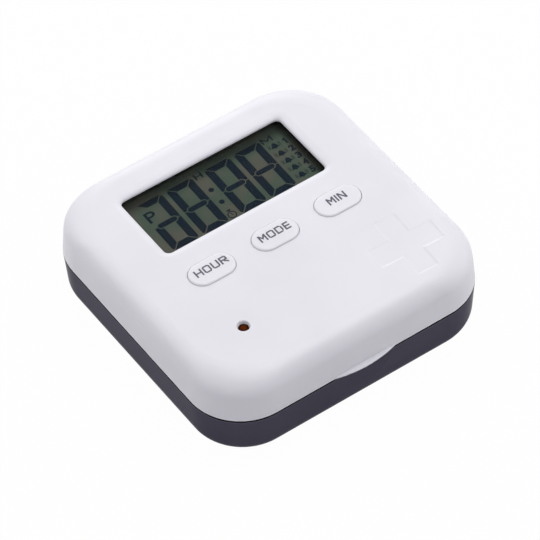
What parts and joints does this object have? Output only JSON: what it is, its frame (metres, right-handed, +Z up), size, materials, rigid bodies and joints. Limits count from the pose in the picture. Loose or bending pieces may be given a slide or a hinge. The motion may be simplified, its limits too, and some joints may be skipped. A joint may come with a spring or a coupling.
{
  "type": "automatic pill dispenser",
  "caption": "Square pocket pill dispenser with rounded corners: a smoke-grey compartment base and a hinged white lid with a clock display, push buttons and an alarm light.",
  "frame": {"origin": "centre of the footprint on the surface it rests on, in the middle of the case's sides", "axes": "+X to the right for someone who reads the display, +Y towards the hinge at the back, +Z up"},
  "size_m": [0.085, 0.0892, 0.0269],
  "materials": {
    "smoke_plastic": "satin, smoke-tinted",
    "white_plastic": "satin",
    "button_plastic": "satin",
    "clear_lens": "polished",
    "lcd_glass": "satin",
    "reflector_film": "matt",
    "contact_rubber": "matt",
    "board_green": "satin",
    "steel": "satin",
    "cell_steel": "bright",
    "black_resin": "matt",
    "black_plastic": "matt",
    "amber_resin": "clear, tinted",
    "plated_brass": "satin",
    "bare_brass": "satin",
    "ceramic": "matt",
    "wire_sleeve": "satin"
  },
  "bodies": {
    "base": {"base_shell": "smoke_plastic", "hinge_pin": "steel"},
    "lid": {"lid_shell": "white_plastic", "inner_cover": "white_plastic", "display_lens": "clear_lens", "case_screws": "steel", "circuit_board": "board_green", "board_screws": "steel", "clock_chip": "black_resin", "quartz_crystal": "steel", "hour_switch": "black_plastic", "mode_switch": "black_plastic", "min_switch": "black_plastic", "alarm_led": "amber_resin", "led_leads": "steel", "coin_cell": "cell_steel", "cell_holder": "black_plastic", "plus_contact": "plated_brass", "minus_contact": "plated_brass", "buzzer_disc": "bare_brass", "buzzer_ceramic": "ceramic", "buzzer_wires": "wire_sleeve", "lcd_panel": "lcd_glass", "lcd_reflector": "reflector_film", "lcd_frame": "white_plastic", "zebra_strip": "contact_rubber"},
    "hour_button": {"hour_button": "button_plastic", "hour_plunger": "black_plastic"},
    "mode_button": {"mode_button": "button_plastic", "mode_plunger": "black_plastic"},
    "min_button": {"min_button": "button_plastic", "min_plunger": "black_plastic"},
    "battery_door": {"cell_door": "white_plastic"}
  },
  "joints": [
    {"name": "lid_hinge", "type": "hinge", "parent": "base", "child": "lid", "pos_m": [0, 0.0434, 0.0142], "axis": [-1, 0, 0], "range_deg": [0, 180]},
    {"name": "hour_press", "type": "slide", "parent": "lid", "child": "hour_button", "axis": [0, 0, -1], "range_m": [0, 0.0004], "stiffness_N_per_m": 4000},
    {"name": "mode_press", "type": "slide", "parent": "lid", "child": "mode_button", "axis": [0, 0, -1], "range_m": [0, 0.0004], "stiffness_N_per_m": 4000},
    {"name": "min_press", "type": "slide", "parent": "lid", "child": "min_button", "axis": [0, 0, -1], "range_m": [0, 0.0004], "stiffness_N_per_m": 4000},
    {"name": "battery_door_turn", "type": "hinge", "parent": "lid", "child": "battery_door", "pos_m": [0.014, -0.014, 0.0155], "axis": [0, 0, 1], "range_deg": [0, 50]}
  ]
}
